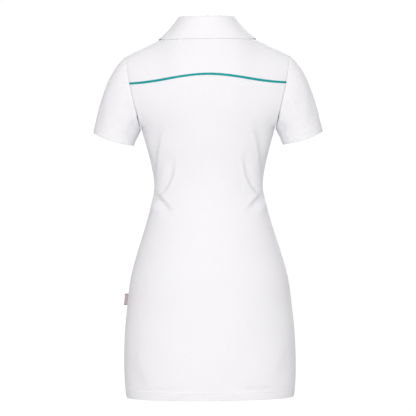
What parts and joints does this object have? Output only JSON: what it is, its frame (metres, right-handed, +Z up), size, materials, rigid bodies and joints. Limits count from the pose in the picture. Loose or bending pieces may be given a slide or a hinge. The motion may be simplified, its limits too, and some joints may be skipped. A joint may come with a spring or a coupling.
{
  "type": "polo dress",
  "caption": "Fitted white knit polo dress with short sleeves, a turned-down collar, a buttoned placket and a teal piping across the back, hollow as when worn.",
  "frame": {"origin": "on the centre line between the shoulder seams, where the wearer's shoulders carry the dress", "axes": "+Z up along the body, the longest extent; the front faces -Y; the wearer's left is +X"},
  "size_m": [0.551, 0.2507, 0.9124],
  "materials": {
    "white_knit": "matte pique knit",
    "collar_knit": "matte doubled knit",
    "teal_piping": "matte folded strip",
    "button_white": "polished",
    "label_tape": "woven satin tape"
  },
  "bodies": {
    "root": {"back_panel": "white_knit", "back_yoke": "white_knit", "front_panel": "white_knit", "sleeve_left": "white_knit", "sleeve_right": "white_knit", "collar_leaf": "collar_knit", "collar_stand": "collar_knit", "placket_upper": "collar_knit", "placket_under": "collar_knit", "piping": "teal_piping", "button_top": "button_white", "button_middle": "button_white", "button_low": "button_white", "side_label": "label_tape"}
  },
  "joints": []
}
